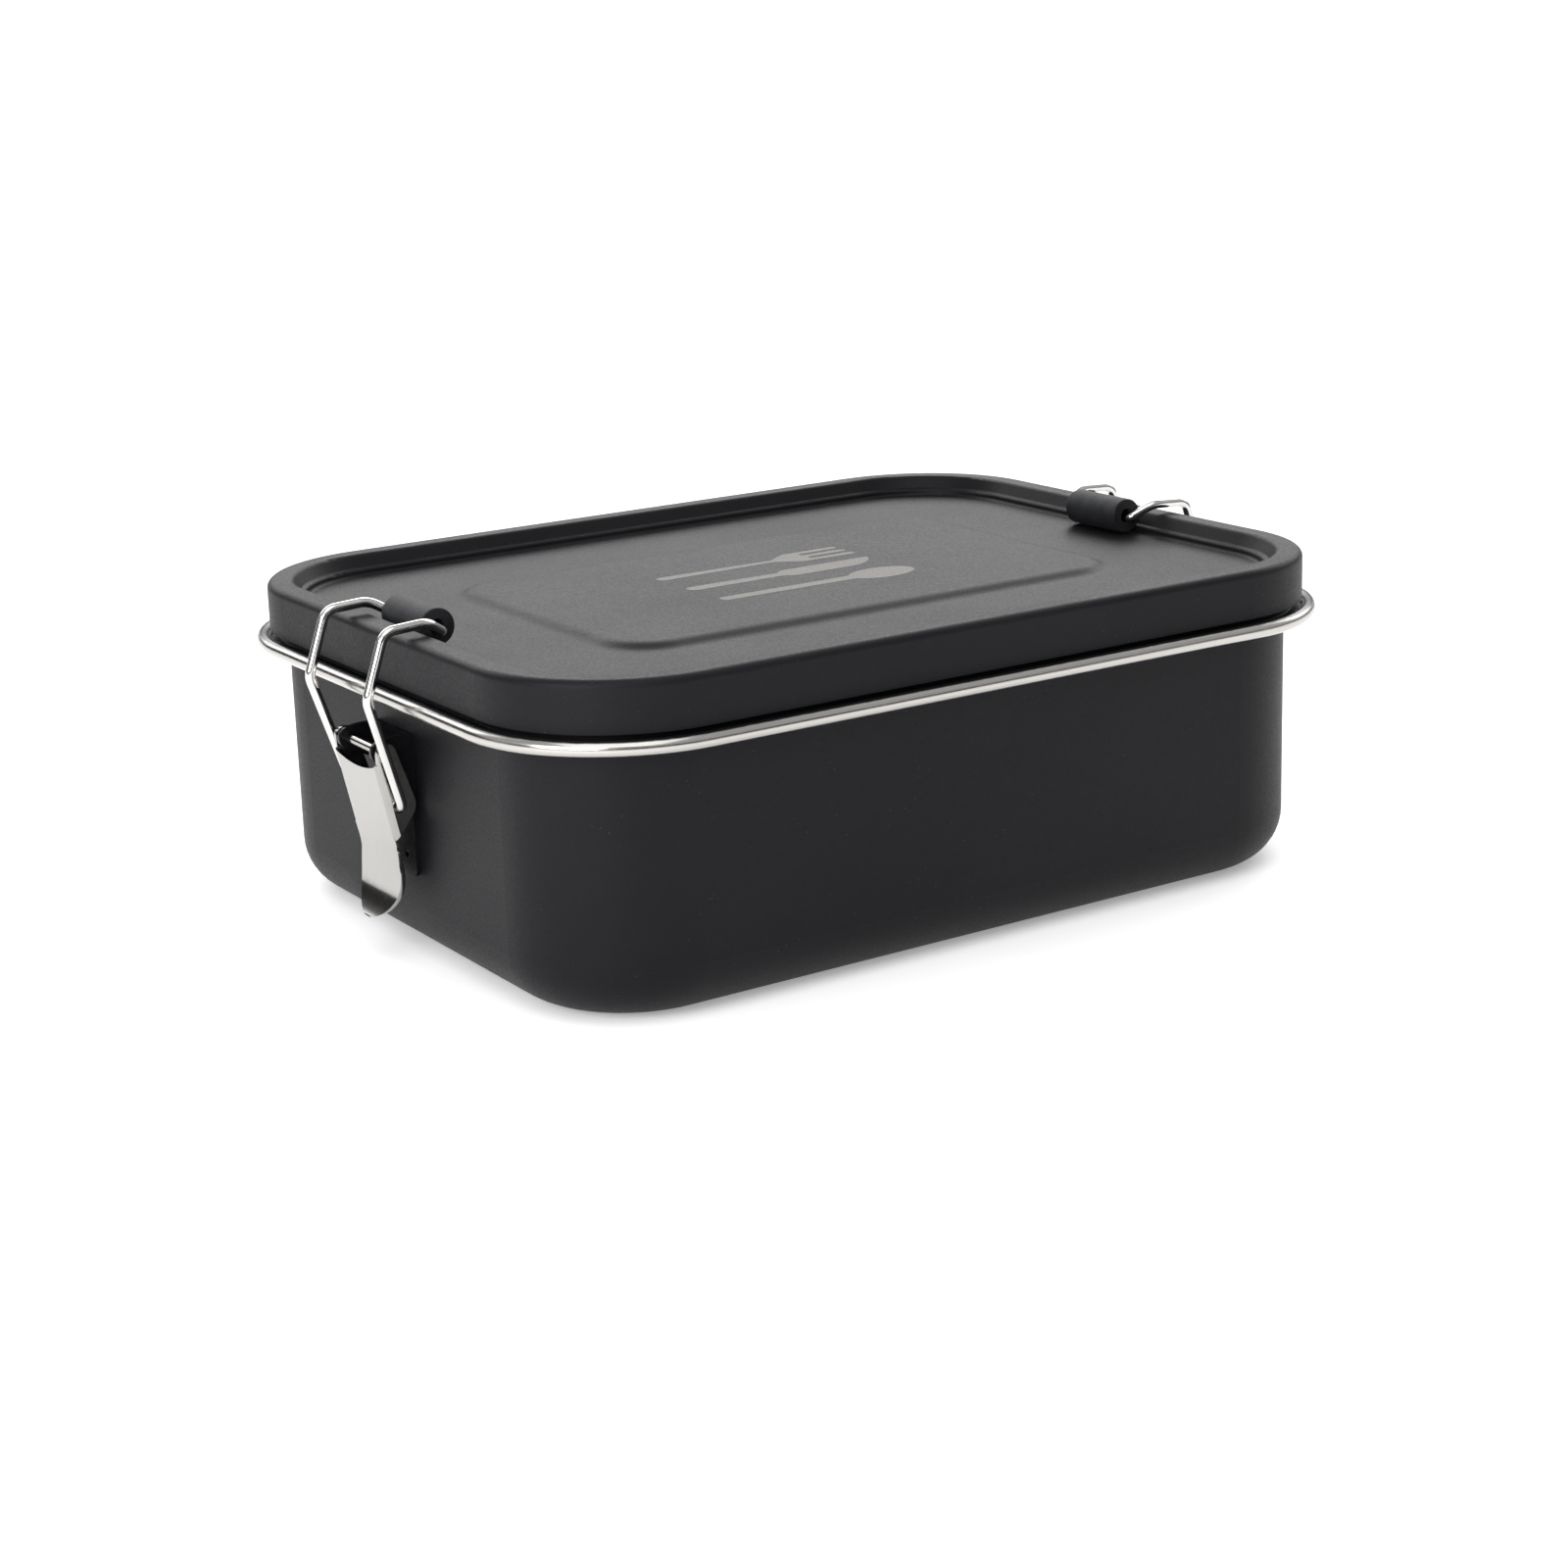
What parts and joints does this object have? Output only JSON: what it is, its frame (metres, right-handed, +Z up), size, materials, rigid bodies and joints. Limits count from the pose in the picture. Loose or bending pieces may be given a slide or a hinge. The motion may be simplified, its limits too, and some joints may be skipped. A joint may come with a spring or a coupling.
{
  "type": "metal lunch box",
  "caption": "Rectangular coated-steel lunch box with rounded corners, a lift-off ridged lid and a wire clamp latch on each short side.",
  "frame": {"origin": "centre of the base, on the surface that the box stands on", "axes": "+X along the box's length, towards the right latch; +Y along its width; +Z up, out of the lid"},
  "size_m": [0.201, 0.1464, 0.0678],
  "materials": {
    "coat": "matt",
    "bare_rim": "bare rolled edge",
    "lever_steel": "satin",
    "wire_steel": "polished",
    "silicone": "matt"
  },
  "bodies": {
    "tub": {"tub": "coat", "rim_bead": "bare_rim", "left_bracket": "coat", "right_bracket": "coat", "left_pivot_pin": "wire_steel", "right_pivot_pin": "wire_steel"},
    "lid": {"lid": "coat", "lid_gasket": "silicone"},
    "left_lever": {"left_lever": "lever_steel"},
    "left_bail": {"left_bail": "wire_steel", "left_sleeve": "silicone"},
    "right_lever": {"right_lever": "lever_steel"},
    "right_bail": {"right_bail": "wire_steel", "right_sleeve": "silicone"}
  },
  "joints": [
    {"name": "lid_lift", "type": "slide", "parent": "tub", "child": "lid", "axis": [0, 0, 1], "range_m": [0, 0.075]},
    {"name": "left_lever_hinge", "type": "hinge", "parent": "tub", "child": "left_lever", "pos_m": [-0.095, 0, 0.0424], "axis": [0, 1, 0], "range_deg": [0, 150]},
    {"name": "left_bail_hinge", "type": "hinge", "parent": "left_lever", "child": "left_bail", "pos_m": [-0.0931, 0, 0.0321], "axis": [0, 1, 0], "range_deg": [-300, 0], "deforming": ["left_bail", "left_sleeve"]},
    {"name": "right_lever_hinge", "type": "hinge", "parent": "tub", "child": "right_lever", "pos_m": [0.095, 0, 0.0424], "axis": [0, -1, 0], "range_deg": [0, 150]},
    {"name": "right_bail_hinge", "type": "hinge", "parent": "right_lever", "child": "right_bail", "pos_m": [0.0931, 0, 0.0321], "axis": [0, -1, 0], "range_deg": [-300, 0], "deforming": ["right_bail", "right_sleeve"]}
  ],
  "couplings": [
    {"joint": "left_lever_hinge", "follows": "lid_lift", "rad_per_m": 34.907},
    {"joint": "left_bail_hinge", "follows": "lid_lift", "rad_per_m": -69.813},
    {"joint": "right_lever_hinge", "follows": "lid_lift", "rad_per_m": 34.907},
    {"joint": "right_bail_hinge", "follows": "lid_lift", "rad_per_m": -69.813}
  ]
}
